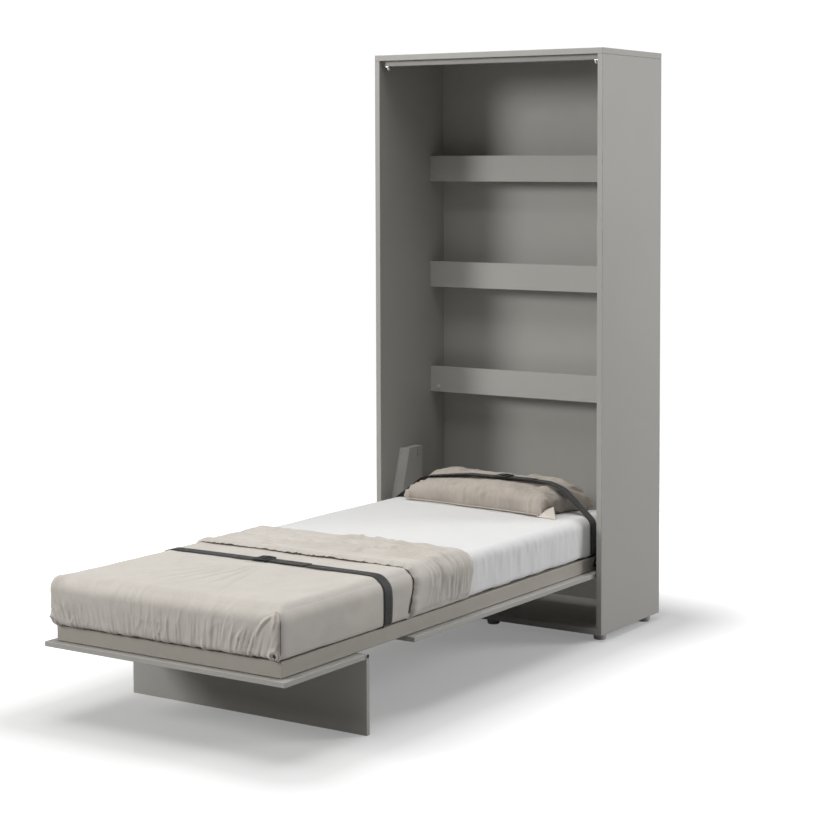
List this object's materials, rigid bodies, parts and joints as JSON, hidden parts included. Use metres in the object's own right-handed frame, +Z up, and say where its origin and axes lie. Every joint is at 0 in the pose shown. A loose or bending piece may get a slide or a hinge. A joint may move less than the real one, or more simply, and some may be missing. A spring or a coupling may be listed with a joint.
{
  "type": "murphy wall bed",
  "caption": "Single wall bed folded down from a tall shelved cabinet, its front panel under the frame and a fold-out leg panel, with mattress, bedspread, pillow and holding straps.",
  "frame": {"origin": "on the floor, in the middle of the rectangle that the bed takes up when it is folded down", "axes": "+Z up, +Y towards the wall behind the cabinet, +X to the right for someone facing the cabinet"},
  "size_m": [1.014, 2.273, 2.178],
  "materials": {
    "carcass": "matt grey melamine-faced board",
    "facade": "matt grey melamine-faced board",
    "frame": "satin warm grey powder coat",
    "steel": "zinc-plated, satin",
    "dark_steel": "black coated steel",
    "cover": "moulded grey plastic",
    "foot": "dark grey plastic",
    "slat": "pale bent ply",
    "mattress": "white cotton sheet",
    "blanket": "warm beige short-pile fabric",
    "webbing": "charcoal woven webbing",
    "buckle": "black moulded plastic"
  },
  "bodies": {
    "cabinet": {"back_panel": "carcass", "bottom_panel": "carcass", "foot_front_centre": "foot", "foot_front_left": "foot", "foot_front_right": "foot", "foot_rear_centre": "foot", "foot_rear_left": "foot", "foot_rear_right": "foot", "mechanism_cover_left": "cover", "mechanism_cover_right": "cover", "mechanism_plate_left": "dark_steel", "mechanism_plate_right": "dark_steel", "pivot_bush_left": "steel", "pivot_bush_right": "steel", "shelf_board_lower": "carcass", "shelf_board_middle": "carcass", "shelf_board_upper": "carcass", "shelf_bumper": "foot", "shelf_lip_lower": "carcass", "shelf_lip_middle": "carcass", "shelf_lip_upper": "carcass", "side_keeper": "steel", "side_panel_left": "carcass", "side_panel_right": "carcass", "top_catch_left": "steel", "top_catch_right": "steel", "top_panel": "carcass", "top_rail": "carcass", "wall_rail": "steel"},
    "gas_cylinder_left": {"gas_cylinder_left": "dark_steel"},
    "gas_cylinder_right": {"gas_cylinder_right": "dark_steel"},
    "gas_rod_left": {"gas_rod_left": "steel"},
    "gas_rod_right": {"gas_rod_right": "steel"},
    "leg": {"leg_panel": "facade"},
    "bed": {"bedspread": "blanket", "buckle_foot": "buckle", "buckle_head": "buckle", "foot_rail": "frame", "front_panel_main": "facade", "front_strip_foot": "facade", "head_rail": "frame", "leg_bracket_left": "dark_steel", "leg_bracket_right": "dark_steel", "leg_pin_left": "dark_steel", "leg_pin_right": "dark_steel", "lift_arm_left": "dark_steel", "lift_arm_right": "dark_steel", "mattress": "mattress", "pillow": "blanket", "pivot_axle_left": "steel", "pivot_axle_right": "steel", "side_rail_left": "frame", "side_rail_right": "frame", "slatted_base": "slat", "strap_foot": "webbing", "strap_head": "webbing"}
  },
  "joints": [
    {"name": "bed_fold", "type": "hinge", "parent": "cabinet", "child": "bed", "pos_m": [0, 0.7295, 0.286], "axis": [-1, 0, 0], "range_deg": [0, 90]},
    {"name": "leg_fold", "type": "hinge", "parent": "bed", "child": "leg", "pos_m": [0, -0.7285, 0.247], "axis": [1, 0, 0], "range_deg": [0, 90]},
    {"name": "gas_swing_left", "type": "hinge", "parent": "cabinet", "child": "gas_cylinder_left", "pos_m": [-0.471, 0.8415, 0.59], "axis": [1, 0, 0], "range_deg": [0, 4.54]},
    {"name": "gas_stroke_left", "type": "slide", "parent": "gas_cylinder_left", "child": "gas_rod_left", "axis": [0, -0.257, -0.9664], "range_m": [0, 0.0857]},
    {"name": "gas_swing_right", "type": "hinge", "parent": "cabinet", "child": "gas_cylinder_right", "pos_m": [0.471, 0.8415, 0.59], "axis": [1, 0, 0], "range_deg": [0, 4.54]},
    {"name": "gas_stroke_right", "type": "slide", "parent": "gas_cylinder_right", "child": "gas_rod_right", "axis": [0, -0.257, -0.9664], "range_m": [0, 0.0857]}
  ],
  "couplings": [
    {"joint": "gas_swing_left", "follows": "bed_fold", "ratio": 0.039322},
    {"joint": "gas_stroke_left", "follows": "bed_fold", "m_per_rad": 0.052633},
    {"joint": "gas_swing_right", "follows": "bed_fold", "ratio": 0.039322},
    {"joint": "gas_stroke_right", "follows": "bed_fold", "m_per_rad": 0.052633}
  ]
}
